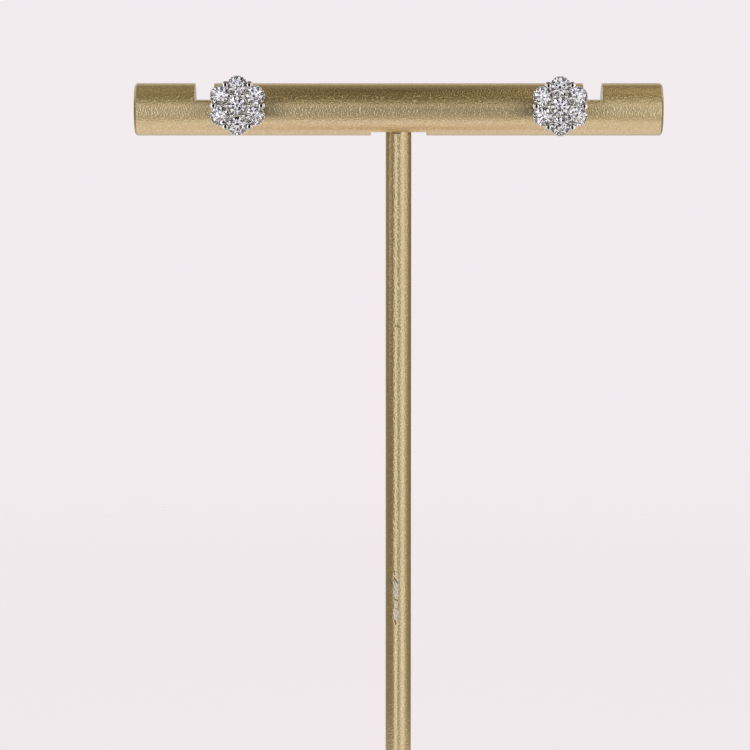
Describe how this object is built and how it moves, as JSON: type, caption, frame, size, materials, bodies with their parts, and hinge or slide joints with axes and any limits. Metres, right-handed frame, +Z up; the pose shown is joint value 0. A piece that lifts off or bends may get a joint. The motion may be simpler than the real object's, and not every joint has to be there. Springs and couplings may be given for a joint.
{
  "type": "pair of flower cluster stud earrings on a t-bar display stand",
  "caption": "Flower cluster stud earrings with round cut stones in ball prong settings, held on a slim T-bar display stand with a notched round crossbar and round base.",
  "frame": {"origin": "centre of the base's underside, on the surface that the stand rests on", "axes": "+Z up along the mast, +X along the crossbar, and the stones face -Y"},
  "size_m": [0.061, 0.046, 0.1009],
  "materials": {
    "satin_gold": "fine blasted, satin gold tone",
    "white_gold": "polished white metal",
    "clear_stone": "clear, polished facets"
  },
  "bodies": {
    "root": {"stand_bar": "satin_gold", "stand_mast": "satin_gold", "stand_base": "satin_gold", "setting_left": "white_gold", "clutch_left": "white_gold", "stone_centre_left": "clear_stone", "stone_petal_1_left": "clear_stone", "stone_petal_2_left": "clear_stone", "stone_petal_3_left": "clear_stone", "stone_petal_4_left": "clear_stone", "stone_petal_5_left": "clear_stone", "stone_petal_6_left": "clear_stone", "setting_right": "white_gold", "clutch_right": "white_gold", "stone_centre_right": "clear_stone", "stone_petal_1_right": "clear_stone", "stone_petal_2_right": "clear_stone", "stone_petal_3_right": "clear_stone", "stone_petal_4_right": "clear_stone", "stone_petal_5_right": "clear_stone", "stone_petal_6_right": "clear_stone"}
  },
  "joints": []
}
